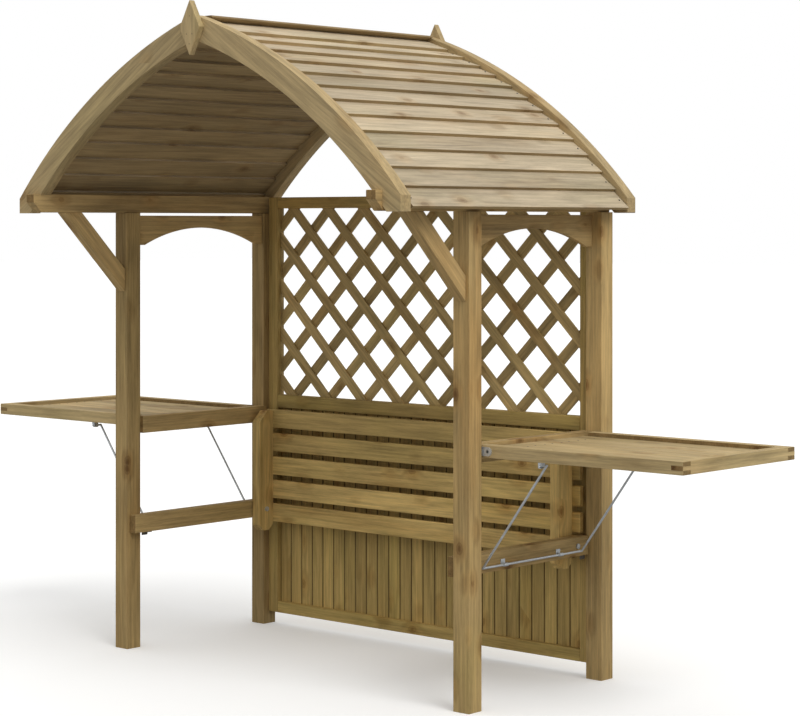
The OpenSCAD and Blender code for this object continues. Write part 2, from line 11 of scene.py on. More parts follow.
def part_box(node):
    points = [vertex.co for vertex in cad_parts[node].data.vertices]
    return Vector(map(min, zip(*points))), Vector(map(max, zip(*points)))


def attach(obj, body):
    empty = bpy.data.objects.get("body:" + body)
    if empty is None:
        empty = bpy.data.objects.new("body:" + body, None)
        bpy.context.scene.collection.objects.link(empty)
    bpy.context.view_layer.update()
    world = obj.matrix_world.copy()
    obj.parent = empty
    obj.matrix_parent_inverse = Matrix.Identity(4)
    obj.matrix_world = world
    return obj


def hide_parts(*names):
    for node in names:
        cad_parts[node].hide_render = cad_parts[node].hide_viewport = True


bl_info = {
    "name": "Garden Arbour Dressing",
    "version": (1, 0, 0),
    "blender": (4, 5, 0),
    "location": "3D View > Sidebar > Arbour",
    "description": "Adds timber boards, grain, nails and metal finishes to the packed arbour",
    "category": "Object",
}

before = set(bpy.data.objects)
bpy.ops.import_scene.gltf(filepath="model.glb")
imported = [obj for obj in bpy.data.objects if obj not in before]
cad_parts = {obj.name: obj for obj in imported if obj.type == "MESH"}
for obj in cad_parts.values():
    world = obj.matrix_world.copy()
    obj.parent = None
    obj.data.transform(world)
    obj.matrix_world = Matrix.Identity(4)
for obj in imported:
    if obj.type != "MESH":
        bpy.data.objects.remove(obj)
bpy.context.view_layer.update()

ALONG_X = Vector((1, 0, 0))
ALONG_Y = Vector((0, 1, 0))
ALONG_Z = Vector((0, 0, 1))
SIDES = (("left", -1), ("right", 1))

# Value that makes the faces in the grooves between the panel's boards very dark: painted shade
GROOVE_SHADE_LEVEL = -3.6

# Side of a table rail, and where the cross rail under the boards starts
RAIL = 0.038
CROSS_RAIL = 0.812


def screen_colour(red, green, blue):
    """Linear colour of a colour given as it looks on a screen, from 0 to 255."""
    out = []
    for part in (red, green, blue):
        part /= 255
        out.append(part / 12.92 if part <= 0.04045 else ((part + 0.055) / 1.055) ** 2.4)
    return (*out, 1.0)


class ArbourCameraSettings(bpy.types.PropertyGroup):
    """Where the camera stands and how it is framed."""

    place: bpy.props.FloatVectorProperty(
        name="Place", description="Where the camera stands", size=3, subtype="TRANSLATION",
        unit="LENGTH", default=(5.0075, -5.3402, 1.4499), precision=4)
    turn: bpy.props.FloatProperty(
        name="Turn", description="Turn of the level camera about the upright", subtype="ANGLE",
        default=math.radians(42.68))
    lens: bpy.props.FloatProperty(
        name="Lens", description="Focal length on a 36 mm sensor", unit="CAMERA", default=101.47)
    shift: bpy.props.FloatVectorProperty(
        name="Shift", description="Shift of the lens, in image widths", size=2,
        default=(0.0757, -0.1689), precision=4)


class ArbourStudioSettings(bpy.types.PropertyGroup):
    """Strength and colour of the light and of the floor."""

    sky: bpy.props.FloatProperty(
        name="Sky", description="Strength of the even light from all round", default=0.62, min=0)
    key: bpy.props.FloatProperty(
        name="Key", description="Strength of the soft light from the right", default=1.35, min=0)
    bounce: bpy.props.FloatProperty(
        name="Bounce", description="Share of the light that the floor sends back", default=0.42,
        min=0, max=1)
    lift: bpy.props.FloatProperty(
        name="Lift", description="Glow of the floor, seen by the camera only", default=0.16, min=0)
    backdrop: bpy.props.FloatProperty(
        name="Backdrop", description="Brightness of the backdrop to the camera", default=1.0)
    floor: bpy.props.FloatVectorProperty(
        name="Floor", description="Colour of the floor", size=4, subtype="COLOR",
        default=(0.93, 0.93, 0.92, 1), min=0, max=1)


class ArbourTimberSettings(bpy.types.PropertyGroup):
    """Shape of the boards and the colours of their timber."""

    ease: bpy.props.FloatProperty(
        name="Ease", description="Rounding of a sawn edge", unit="LENGTH", default=0.0022, min=0)
    board_ease: bpy.props.FloatProperty(
        name="Board ease", description="Rounding of a thin board's edge", unit="LENGTH",
        default=0.0014, min=0)
    nail_radius: bpy.props.FloatProperty(
        name="Nail radius", description="Radius of a nail's head", unit="LENGTH",
        default=0.0032, min=0.001)
    post: bpy.props.FloatVectorProperty(
        name="Posts", description="Pale timber of the posts", size=4, subtype="COLOR",
        default=screen_colour(176, 149, 100), min=0, max=1)
    beam: bpy.props.FloatVectorProperty(
        name="Beams", description="Pale timber of the beams, braces and arches", size=4,
        subtype="COLOR", default=screen_colour(180, 152, 103), min=0, max=1)
    gable: bpy.props.FloatVectorProperty(
        name="Gables", description="Pale timber of the bargeboards and finials", size=4,
        subtype="COLOR", default=screen_colour(176, 154, 113), min=0, max=1)
    roof: bpy.props.FloatVectorProperty(
        name="Roof", description="Pale timber of the roof boards", size=4, subtype="COLOR",
        default=screen_colour(184, 168, 141), min=0, max=1)
    panel: bpy.props.FloatVectorProperty(
        name="Panel", description="Pale timber of the back panel", size=4, subtype="COLOR",
        default=screen_colour(188, 160, 98), min=0, max=1)
    lattice: bpy.props.FloatVectorProperty(
        name="Lattice", description="Pale timber of the lattice", size=4, subtype="COLOR",
        default=screen_colour(178, 153, 103), min=0, max=1)
    seat: bpy.props.FloatVectorProperty(
        name="Seat", description="Pale timber of the seat", size=4, subtype="COLOR",
        default=screen_colour(196, 167, 105), min=0, max=1)
    table: bpy.props.FloatVectorProperty(
        name="Tables", description="Pale timber of the tables", size=4, subtype="COLOR",
        default=screen_colour(186, 163, 118), min=0, max=1)
    zinc: bpy.props.FloatVectorProperty(
        name="Zinc", description="Dull galvanised steel", size=4, subtype="COLOR",
        default=screen_colour(208, 213, 217), min=0, max=1)


class Wiring:
    """Adds nodes to a node tree and links them."""

    def __init__(self, tree):
        self.tree = tree

    def node(self, kind, inputs=None, **settings):
        made = self.tree.nodes.new(kind)
        for key, value in settings.items():
            setattr(made, key, value)
        for key, value in (inputs or {}).items():
            self.feed(made.inputs[key], value)
        return made

    def feed(self, socket, value):
        if isinstance(value, bpy.types.NodeSocket):
            self.tree.links.new(value, socket)
        else:
            socket.default_value = value

    def math(self, operation, first, second=0.0, clamp=False):
        return self.node("ShaderNodeMath", {0: first, 1: second}, operation=operation,
                         use_clamp=clamp).outputs[0]

    def vector(self, operation, first, second=(0, 0, 0), scale=None):
        inputs = {0: first, 1: second}
        if scale is not None:
            inputs = {0: first, "Scale": scale}
        made = self.node("ShaderNodeVectorMath", inputs, operation=operation)
        return made.outputs["Value" if operation in ("DOT_PRODUCT", "LENGTH") else "Vector"]

    def ramp(self, value, low, high, start=0.0, end=1.0):
        return self.node("ShaderNodeMapRange", {"Value": value, "From Min": low, "From Max": high,
                                                "To Min": start, "To Max": end},
                         interpolation_type="SMOOTHSTEP").outputs[0]

    def mix(self, factor, first, second, blend="MIX"):
        return self.node("ShaderNodeMix", {0: factor, 6: first, 7: second}, data_type="RGBA",
                         blend_type=blend, clamp_factor=True).outputs[2]

    def noise(self, vector, scale, detail=3.0, roughness=0.5, distortion=0.0):
        return self.node("ShaderNodeTexNoise", {
            "Vector": vector, "Scale": scale, "Detail": detail, "Roughness": roughness,
            "Distortion": distortion}).outputs[0]


def node_group(name, inputs, outputs):
    """New shader node group with named sockets: its wiring, its inputs and its output node."""
    group = bpy.data.node_groups.new(name, "ShaderNodeTree")
    for label, kind, value in inputs:
        socket = group.interface.new_socket(label, in_out="INPUT", socket_type="NodeSocket" + kind)
        socket.default_value = value
    for label, kind in outputs:
        group.interface.new_socket(label, in_out="OUTPUT", socket_type="NodeSocket" + kind)
    wiring = Wiring(group)
    given = wiring.node("NodeGroupInput").outputs
    return group, wiring, given, wiring.node("NodeGroupOutput")


def timber_group():
    """Sawn softwood: streaks and bands along each board's grain, knots, stains and end grain, with
    painted shade on faces that look downward.
    """
    if "Sawn timber" in bpy.data.node_groups:
        return bpy.data.node_groups["Sawn timber"]
    group, w, given, out = node_group("Sawn timber", [
        ("Pale", "Color", (0.4, 0.3, 0.15, 1)),
        ("Contrast", "Float", 1.0),
        ("Knots", "Float", 1.0),
        ("Green", "Float", 0.5),
        ("Brown", "Float", 0.5),
        # Strength of the painted shade on faces that look downward
        ("Underside", "Float", 0.0),
    ], [("Color", "Color"), ("Roughness", "Float"), ("Height", "Float")])
    place = w.node("ShaderNodeTexCoord")
    grain = w.node("ShaderNodeAttribute", attribute_name="grain").outputs["Vector"]
    board = w.node("ShaderNodeAttribute", attribute_name="board").outputs["Vector"]
    board_parts = w.node("ShaderNodeSeparateXYZ", {0: board}).outputs
    shifted = w.vector("ADD", place.outputs["Object"],
                       w.vector("SCALE", (3.1, 1.7, 2.3), scale=board_parts[0]))

    # Distance along the board and two distances across it
    side = w.vector("NORMALIZE", w.vector("CROSS_PRODUCT", grain, (0.31, 0.52, 0.79)))
    other = w.vector("CROSS_PRODUCT", grain, side)
    along = w.vector("DOT_PRODUCT", shifted, grain)
    across = w.node("ShaderNodeCombineXYZ", {
        0: 0.0, 1: w.vector("DOT_PRODUCT", shifted, side),
        2: w.vector("DOT_PRODUCT", shifted, other)}).outputs[0]

    def stretched(length):
        run = w.node("ShaderNodeCombineXYZ", {0: w.math("MULTIPLY", along, length)}).outputs[0]
        return w.vector("ADD", run, across)

    # Knots, drawn out a little along the grain
    cells = w.node("ShaderNodeTexVoronoi", {
        "Vector": stretched(0.62), "Scale": 10.5, "Randomness": 1.0},
        feature="F1", distance="EUCLIDEAN")
    wobble = w.noise(shifted, 60.0, 2.0)
    reach = w.math("ADD", cells.outputs["Distance"], w.math("MULTIPLY", wobble, 0.06))
    chance = w.node("ShaderNodeSeparateColor", {0: cells.outputs["Color"]}).outputs[0]
    there = w.math("MULTIPLY", w.ramp(chance, 0.30, 0.40), given["Knots"], clamp=True)
    knot = w.math("MULTIPLY", w.ramp(reach, 0.17, 0.07), there)
    halo = w.math("MULTIPLY", w.ramp(reach, 0.46, 0.14), there)
    ring = w.math("MULTIPLY", w.ramp(w.math("ABSOLUTE", w.math("SUBTRACT", reach, 0.15)),
                                     0.03, 0.0), there)

    # Growth bands that run along the board and bend round the knots
    bend = w.noise(stretched(0.09), 16.0, 2.0, 0.45)
    phase = w.math("ADD", w.math("MULTIPLY", bend, 34.0), w.math("MULTIPLY", halo, 5.0))
    bands = w.math("MULTIPLY_ADD", w.math("SINE", phase), 0.5)
    bands.node.inputs[2].default_value = 0.5
    streaks = w.noise(stretched(0.03), 150.0, 4.0, 0.6)
    pores = w.noise(stretched(0.06), 620.0, 2.0, 0.5)
    patch = w.noise(stretched(0.25), 7.0, 3.0, 0.55)
    green_patch = w.ramp(w.noise(stretched(0.3), 5.0, 3.0, 0.6), 0.42, 0.72)
    brown_patch = w.ramp(w.noise(w.vector("ADD", stretched(0.2), (7.0, 3.0, 5.0)), 6.0, 3.0, 0.6),
                         0.50, 0.74)

    # The board's own lightness, made very low on groove faces, where it paints shade
    board_tone_and_groove_shade = w.math("MULTIPLY_ADD", board_parts[1], 0.16)
    board_tone_and_groove_shade.node.inputs[2].default_value = 1.0
    shade = w.math("MULTIPLY_ADD", w.math("SUBTRACT", bands, 0.5), 0.13)
    shade.node.inputs[2].default_value = 0.0
    shade = w.math("ADD", shade, w.math("MULTIPLY", w.math("SUBTRACT", streaks, 0.5), 0.75))
    shade = w.math("ADD", shade, w.math("MULTIPLY", w.math("SUBTRACT", pores, 0.5), 0.30))
    shade = w.math("ADD", shade, w.math("MULTIPLY", w.math("SUBTRACT", patch, 0.5), 0.55))
    shade = w.math("MULTIPLY", shade, given["Contrast"])
    level = w.math("MULTIPLY", w.math("ADD", 1.0, shade), board_tone_and_groove_shade)
    colour = w.vector("SCALE", given["Pale"], scale=level)
    colour = w.mix(w.math("MULTIPLY", green_patch,
                          w.math("MULTIPLY", given["Green"], board_parts[2])),
                   colour, w.vector("MULTIPLY", colour, (0.80, 0.92, 0.62)))
    colour = w.mix(w.math("MULTIPLY", brown_patch, given["Brown"]),
                   colour, w.vector("MULTIPLY", colour, (0.80, 0.66, 0.50)))
    colour = w.mix(w.math("MULTIPLY", halo, 0.55), colour,
                   w.vector("MULTIPLY", colour, (0.72, 0.58, 0.42)))
    colour = w.mix(w.math("MULTIPLY", knot, 0.75), colour,
                   w.vector("MULTIPLY", colour, (0.36, 0.25, 0.17)))
    colour = w.mix(w.math("MULTIPLY", ring, 0.38), colour,
                   w.vector("MULTIPLY", colour, (0.40, 0.27, 0.18)))

    # Painted shade: faces that look downward are darkened, standing in for the shade that falls on
    # them
    downward_shade_mask = w.ramp(w.node("ShaderNodeSeparateXYZ", {0: place.outputs["Normal"]}).outputs[2],
                  0.30, -0.10)
    colour = w.mix(w.math("MULTIPLY", downward_shade_mask, given["Underside"]), colour,
                   w.vector("MULTIPLY", colour, (0.70, 0.60, 0.40)))

    # End grain is darker and shows the rings as arcs
    facing = w.math("ABSOLUTE", w.vector("DOT_PRODUCT", place.outputs["Normal"], grain))
    end = w.ramp(facing, 0.80, 0.95)
    rings = w.math("SINE", w.math("MULTIPLY", w.vector("LENGTH", w.vector("ADD", across, (
        0.0, 0.03, 0.02))), 1900.0))
    dark_end = w.vector("SCALE", w.vector("MULTIPLY", colour, (0.56, 0.50, 0.42)),
                        scale=w.math("MULTIPLY_ADD", rings, 0.06))
    dark_end.node.inputs["Scale"].links[0].from_node.inputs[2].default_value = 0.94
    colour = w.mix(end, colour, dark_end)

    w.feed(out.inputs["Color"], colour)
    rough = w.math("MULTIPLY_ADD", streaks, 0.18)
    rough.node.inputs[2].default_value = 0.66
    w.feed(out.inputs["Roughness"], rough)
    height = w.math("ADD", w.math("MULTIPLY", streaks, 0.6), w.math("MULTIPLY", pores, 0.4))
    w.feed(out.inputs["Height"], w.math("SUBTRACT", height, w.math("MULTIPLY", ring, 0.3)))
    return group


def timber(name, pale, contrast=1.0, knots=1.0, green=0.5, brown=0.5, downward_shade=0.0):
    """Material of one kind of timber; boards differ through their own attributes. The last argument
    sets painted shade on faces that look downward.
    """
    if name in bpy.data.materials:
        return bpy.data.materials[name]
    material = bpy.data.materials.new(name)
    material.use_nodes = True
    w = Wiring(material.node_tree)
    shader = material.node_tree.nodes["Principled BSDF"]
    grain = w.node("ShaderNodeGroup", node_tree=timber_group())
    for label, value in (("Pale", pale), ("Contrast", contrast), ("Knots", knots),
                         ("Green", green), ("Brown", brown), ("Underside", downward_shade)):
        w.feed(grain.inputs[label], value)
    bump = w.node("ShaderNodeBump", {
        "Height": grain.outputs["Height"], "Strength": 0.35, "Distance": 0.0012})
    w.feed(shader.inputs["Base Color"], grain.outputs["Color"])
    w.feed(shader.inputs["Roughness"], grain.outputs["Roughness"])
    w.feed(shader.inputs["Normal"], bump.outputs["Normal"])
    shader.inputs["Specular IOR Level"].default_value = 0.22
    return material


def zinc(name, colour, dull=0.5):
    """Galvanised steel with a faint spangle and dull patches."""
    if name in bpy.data.materials:
        return bpy.data.materials[name]
    material = bpy.data.materials.new(name)
    material.use_nodes = True
    w = Wiring(material.node_tree)
    shader = material.node_tree.nodes["Principled BSDF"]
    place = w.node("ShaderNodeTexCoord").outputs["Object"]
    spangle = w.node("ShaderNodeTexVoronoi", {"Vector": place, "Scale": 160.0}).outputs["Color"]
    flake = w.math("MULTIPLY", w.node("ShaderNodeSeparateColor", {0: spangle}).outputs[0], 0.16)
    patches = w.noise(place, 34.0, 4.0, 0.6)
    level = w.math("ADD", w.math("ADD", 0.80, flake), w.math("MULTIPLY", patches, 0.12))
    w.feed(shader.inputs["Base Color"], w.vector("SCALE", colour, scale=level))
    w.feed(shader.inputs["Roughness"], w.math("ADD", w.math("MULTIPLY", patches, 0.3), dull - 0.1))
    shader.inputs["Metallic"].default_value = 0.85
    bump = w.node("ShaderNodeBump", {"Height": patches, "Strength": 0.2, "Distance": 0.0006})
    w.feed(shader.inputs["Normal"], bump.outputs["Normal"])
    return material


def settings():
    return bpy.context.scene.arbour_timber


def kinds():
    """The timber of each kind of piece."""
    chosen = settings()
    return {
        "post": timber("Post timber", chosen.post, 1.5, 1.0, 0.4, 0.5),
        "beam": timber("Beam timber", chosen.beam, 1.4, 0.8, 0.35, 0.4),
        "gable": timber("Gable timber", chosen.gable, 1.3, 0.8, 0.45, 0.40),
        # The roof's faces that look downward get painted shade
        "roof": timber("Roof timber", chosen.roof, 1.25, 0.7, 0.25, 0.35, 0.85),
        "panel": timber("Panel timber", chosen.panel, 1.4, 0.9, 0.5, 0.45),
        "lattice": timber("Lattice timber", chosen.lattice, 1.5, 0.7, 0.4, 0.5),
        "seat": timber("Seat timber", chosen.seat, 1.5, 1.3, 0.35, 0.6),
        "table": timber("Table timber", chosen.table, 1.3, 1.0, 0.3, 0.4),
    }


def mark_boards(mesh, grain_of, key, groove_shade=None):
    """Gives each face of a bmesh its board's grain direction and its board's own character; faces in
    a groove are made very dark, which paints shade there.
    """
    grain = mesh.faces.layers.float_vector.new("grain")
    board = mesh.faces.layers.float_vector.new("board")
    characters = {}
    for face in mesh.faces:
        direction, which = grain_of(face.calc_center_median())
        if which not in characters:
            chance = random.Random(f"{key} {which}")
            characters[which] = Vector((chance.uniform(0, 9), chance.uniform(-1, 1),
                                        chance.uniform(0, 1)))
        face[grain] = direction
        face[board] = characters[which]
        # Faces in a groove are made very dark: painted shade
        if groove_shade and groove_shade(face.normal):
            face[board] = Vector((characters[which].x, GROOVE_SHADE_LEVEL, characters[which].z))


def finish_piece(name, mesh, material, body, node=None):
    """Turns a bmesh into an object that rides on a body and may stand for a node."""
    data = bpy.data.meshes.new(name)
    mesh.to_mesh(data)
    mesh.free()
    data.materials.append(material)
    piece = bpy.data.objects.new(name, data)
    bpy.context.scene.collection.objects.link(piece)
    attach(piece, body)
    if node:
        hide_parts(node)
    return piece


def ease_edges(mesh, ease):
    """Rounds every sharp edge of a bmesh."""
    sharp = [edge for edge in mesh.edges
             if edge.is_manifold and edge.calc_face_angle(0) > math.radians(28)]
    bmesh.ops.bevel(mesh, geom=sharp, offset=ease, offset_type="OFFSET", affect="EDGES",
                    segments=2, profile=0.5, material=-1, clamp_overlap=True)


def eased_board(node, material, body, grain_of, ease=None, groove_shade=None):
    """Copy of a solid with eased edges and marked boards, which stands for it."""
    mesh = bmesh.new()
    mesh.from_mesh(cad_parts[node].data)
    bmesh.ops.remove_doubles(mesh, verts=mesh.verts, dist=1e-5)
    bmesh.ops.dissolve_limit(mesh, angle_limit=math.radians(0.4), verts=mesh.verts,
                             edges=mesh.edges, use_dissolve_boundaries=False)
    ease_edges(mesh, settings().ease if ease is None else ease)
    mesh.normal_update()
    mark_boards(mesh, grain_of, node, groove_shade)
    return finish_piece(node + "_timber", mesh, material, body, node)


# The arc that the roof boards follow: its centre, radius and the angles of the boards
ROOF_X, ROOF_Z, ROOF_RADIUS = -0.5526, 0.3476, 1.811
ROOF_BOARDS = 13
ROOF_LOW_ANGLE = math.radians(50.57)
ROOF_PITCH = math.radians(2.4625)
ROOF_LAP = math.radians(0.5)
ROOF_TOP_ANGLE = math.radians(17.8)


def roof_point(sign, angle, depth):
    """X and Z of a point under the roof's arc, on one side."""
    reach = ROOF_RADIUS - depth
    return sign * (ROOF_X + reach * math.sin(angle)), ROOF_Z + reach * math.cos(angle)


def nail_steel():
    return zinc("Nail steel", (0.16, 0.15, 0.13), 0.6)


def straight(direction):
    """Grain in one direction on a piece of one board."""
    return lambda centre: (direction, 0)


def add_prism(mesh, corners, run, ease):
    """Adds a board with a given outline, drawn out along a vector, with eased edges."""
    made = bmesh.new()
    face = made.faces.new([made.verts.new(corner) for corner in corners])
    pulled = bmesh.ops.extrude_face_region(made, geom=[face])["geom"]
    bmesh.ops.translate(made, verts=[v for v in pulled if isinstance(v, bmesh.types.BMVert)],
                        vec=run)
    bmesh.ops.recalc_face_normals(made, faces=made.faces)
    ease_edges(made, ease)
    data = bpy.data.meshes.new("part")
    made.to_mesh(data)
    made.free()
    mesh.from_mesh(data)
    bpy.data.meshes.remove(data)


def add_block(mesh, low, high, ease):
    """Adds an upright block between two corners."""
    corners = [(low[0], low[1], low[2]), (high[0], low[1], low[2]),
               (high[0], high[1], low[2]), (low[0], high[1], low[2])]
    add_prism(mesh, corners, Vector((0, 0, high[2] - low[2])), ease)


def add_heads(name, places, radius, height, body, material, sides=8):
    """Nail or bolt heads: domes that stand on the given points, along the given directions."""
    mesh = bmesh.new()
    for point, out in places:
        turn = Vector(out).to_track_quat("Z", "Y").to_matrix().to_4x4()
        centre = Vector(point) + Vector(out) * height * 0.5
        bmesh.ops.create_cone(mesh, cap_ends=True, segments=sides, radius1=radius,
                              radius2=radius * 0.72, depth=height,
                              matrix=Matrix.Translation(centre) @ turn)
    return finish_piece(name, mesh, material, body)


class ARBOUR_OT_studio(bpy.types.Operator):
    """Camera, floor, backdrop and soft light"""

    bl_idname = "arbour.studio"
    bl_label = "Camera and Studio"

    def execute(self, context):
        scene = context.scene
        view = scene.arbour_camera
        light = scene.arbour_studio
        scene.view_settings.view_transform = "Standard"
        lens = bpy.data.cameras.new("Camera")
        lens.lens = view.lens
        lens.sensor_width = 36
        lens.shift_x, lens.shift_y = view.shift
        camera = bpy.data.objects.new("Camera", lens)
        camera.location = view.place
        camera.rotation_euler = (math.radians(90), 0, view.turn)
        scene.collection.objects.link(camera)
        scene.camera = camera

        key = bpy.data.lights.new("Key", "SUN")
        key.energy = light.key
        key.angle = math.radians(35)
        lamp = bpy.data.objects.new("Key", key)
        lamp.rotation_euler = Vector((0.80, -0.22, 0.85)).to_track_quat("Z", "Y").to_euler()
        scene.collection.objects.link(lamp)

        world = bpy.data.worlds.new("Studio")
        world.use_nodes = True
        scene.world = world
        w = Wiring(world.node_tree)
        path = w.node("ShaderNodeLightPath").outputs
        seen = w.math("MAXIMUM", path["Is Camera Ray"],
                      w.math("MAXIMUM", path["Is Glossy Ray"], path["Is Transmission Ray"]))
        sky = world.node_tree.nodes["Background"]
        sky.inputs["Color"].default_value = (1, 1, 1, 1)
        toward = w.node("ShaderNodeTexCoord").outputs["Generated"]
        height = w.node("ShaderNodeSeparateXYZ", {0: toward}).outputs[2]
        glow = w.ramp(height, -0.1, 0.9, 0.75 * light.sky, 1.35 * light.sky)
        w.feed(sky.inputs["Strength"], w.node("ShaderNodeMix", {
            0: seen, 2: glow, 3: light.backdrop}, data_type="FLOAT").outputs[0])

        mesh = bmesh.new()
        bmesh.ops.create_grid(mesh, x_segments=1, y_segments=1, size=60)
        data = bpy.data.meshes.new("Floor")
        mesh.to_mesh(data)
        mesh.free()
        floor = bpy.data.objects.new("Floor", data)
        scene.collection.objects.link(floor)
        paper = bpy.data.materials.new("Floor paper")
        paper.use_nodes = True
        shader = paper.node_tree.nodes["Principled BSDF"]
        w = Wiring(paper.node_tree)
        camera_ray = w.node("ShaderNodeLightPath").outputs["Is Camera Ray"]
        dull = (*(light.bounce * part for part in light.floor[:3]), 1)
        glow = (light.lift, light.lift, light.lift, 1)
        w.feed(shader.inputs["Base Color"], w.mix(camera_ray, dull, light.floor[:]))
        w.feed(shader.inputs["Emission Color"], w.mix(camera_ray, (0, 0, 0, 1), glow))
        shader.inputs["Emission Strength"].default_value = 1.0
        shader.inputs["Roughness"].default_value = 1.0
        shader.inputs["Specular IOR Level"].default_value = 0.0
        data.materials.append(paper)
        return {"FINISHED"}


class ARBOUR_OT_posts(bpy.types.Operator):
    """Posts, eave beams, braces, arch boards and the rails between the posts"""

    bl_idname = "arbour.posts"
    bl_label = "Posts, Beams and Rails"

    def execute(self, context):
        wood = kinds()
        for side, _ in SIDES:
            for end in ("front", "back"):
                eased_board(f"{end}_{side}_post", wood["post"], "frame", straight(ALONG_Z))
            eased_board(f"{side}_eave_beam", wood["beam"], "frame", straight(ALONG_Y))
            eased_board(f"{side}_brace", wood["beam"], "frame",
                        straight(Vector((0, 1, -1)).normalized()))
            eased_board(f"{side}_arch_board", wood["beam"], "frame", straight(ALONG_Y))
            eased_board(f"{side}_seat_rail", wood["post"], "frame", straight(ALONG_Y))
            eased_board(f"{side}_table_ledger", wood["post"], "frame", straight(ALONG_Y))
        return {"FINISHED"}


class ARBOUR_OT_gables(bpy.types.Operator):
    """Bargeboards and finials"""

    bl_idname = "arbour.gables"
    bl_label = "Gables"

    def execute(self, context):
        wood = kinds()["gable"]
        for side, sign in SIDES:
            for end in ("front", "back"):
                node = f"{end}_{side}_bargeboard"
                low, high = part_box(node)
                chord = Vector((sign * (high.x - low.x), 0, low.z + 0.05 - high.z)).normalized()
                eased_board(node, wood, "frame", straight(chord))
        for end in ("front", "back"):
            eased_board(f"{end}_finial", wood, "frame", straight(ALONG_Z))
        low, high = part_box("front_finial")
        back_low, back_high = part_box("back_finial")
        middle = (low.z + high.z) / 2
        nails = []
        for x, z in ((0, 0.035), (-0.012, -0.02), (0.012, -0.02), (0, -0.05)):
            nails.append(((x, low.y, middle + z), -ALONG_Y))
            nails.append(((x, back_high.y, middle + z), ALONG_Y))
        add_heads("finial_nails", [(Vector(p) - n * 0.0012, n) for p, n in nails],
                  settings().nail_radius, 0.0012, "frame", nail_steel())
        return {"FINISHED"}


class ARBOUR_OT_roof(bpy.types.Operator):
    """Roof boards and ridge board"""

    bl_idname = "arbour.roof"
    bl_label = "Roof"

    def execute(self, context):
        wood = kinds()["roof"]
        chance = random.Random(7)
        nails = []
        for side, sign in SIDES:
            low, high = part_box(f"{side}_roof_boards")
            mesh = bmesh.new()
            for i in range(ROOF_BOARDS):
                lower = ROOF_LOW_ANGLE - i * ROOF_PITCH
                upper = lower - ROOF_PITCH - ROOF_LAP if i < ROOF_BOARDS - 1 else ROOF_TOP_ANGLE
                drop = 0.0123 if i < ROOF_BOARDS - 1 else 0.0
                outline = [roof_point(sign, lower, 0), roof_point(sign, upper, drop),
                           roof_point(sign, upper, drop + 0.012), roof_point(sign, lower, 0.012)]
                front = low.y + chance.uniform(0, 0.003)
                run = high.y - chance.uniform(0, 0.003) - front
                add_prism(mesh, [(x, front, z) for x, z in outline], ALONG_Y * run,
                          settings().board_ease)
                for y in (low.y + 0.02, high.y - 0.02):
                    x, z = roof_point(sign, lower - 0.45 * ROOF_PITCH, 0.0048)
                    out = Vector((sign * math.sin(lower), 0, math.cos(lower)))
                    nails.append(((x, y, z), out))

            def board(centre, sign=sign):
                angle = math.atan2(sign * centre.x - ROOF_X, centre.z - ROOF_Z)
                return ALONG_Y, math.floor((ROOF_LOW_ANGLE - angle) / ROOF_PITCH + 0.05)
            mark_boards(mesh, board, side)
            finish_piece(f"{side}_roof_boards_timber", mesh, wood, "frame",
                         f"{side}_roof_boards")
        eased_board("ridge_board", wood, "frame", straight(ALONG_Y), 0.0005)
        add_heads("roof_nails", nails, settings().nail_radius, 0.0016, "frame", nail_steel())
        return {"FINISHED"}


class ARBOUR_OT_panel(bpy.types.Operator):
    """Back panel with its boards and lattice"""

    bl_idname = "arbour.panel"
    bl_label = "Back Panel"

    def execute(self, context):
        wood = kinds()
        for side, _ in SIDES:
            eased_board(f"{side}_panel_stile", wood["panel"], "frame", straight(ALONG_Z))
        for place in ("bottom", "mid", "top"):
            eased_board(f"panel_{place}_rail", wood["panel"], "frame", straight(ALONG_X))
        low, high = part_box("panel_boards")
        count = round((high.x - low.x) / 0.052)
        pitch = (high.x - low.x) / count
        depth, groove = high.y - low.y, 0.003
        outline = [(0, groove), (groove, 0), (pitch - groove, 0), (pitch, groove),
                   (pitch, depth - groove), (pitch - groove, depth), (groove, depth),
                   (0, depth - groove)]
        mesh = bmesh.new()
        for i in range(count):
            corners = [(low.x + i * pitch + x, low.y + y, low.z) for x, y in outline]
            add_prism(mesh, corners, ALONG_Z * (high.z - low.z), 0.0004)
        mesh.normal_update()
        # The slanting faces of the V-grooves are made very dark: painted shade
        mark_boards(mesh, lambda c: (ALONG_Z, math.floor((c.x - low.x) / pitch)), "panel",
                    lambda normal: 0.3 < abs(normal.x) < 0.95)
        finish_piece("panel_boards_timber", mesh, wood["panel"], "frame", "panel_boards")
        low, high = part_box("panel_lattice")
        middle = (low.y + high.y) / 2
        rise = Vector((1, 0, 1)).normalized()
        fall = Vector((1, 0, -1)).normalized()
        step = 0.1695 / math.sqrt(2)

        def strip(centre):
            if centre.y < middle:
                return fall, round(centre.dot(rise) / step * 2)
            return rise, 1000 + round(centre.dot(fall) / step * 2)
        eased_board("panel_lattice", wood["lattice"], "frame", strip, 0.0008)
        return {"FINISHED"}


class ARBOUR_OT_seat(bpy.types.Operator):
    """Slatted seat and its battens"""

    bl_idname = "arbour.seat"
    bl_label = "Seat"

    def execute(self, context):
        wood = kinds()["seat"]
        for side, _ in SIDES:
            eased_board(f"{side}_seat_batten", wood, "seat", straight(ALONG_Z))
        low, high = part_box("seat_slats")
        pitch = (high.z - low.z + 0.019) / 5
        eased_board("seat_slats", wood, "seat",
                    lambda c: (ALONG_X, math.floor((c.z - low.z) / pitch)), 0.003)
        return {"FINISHED"}


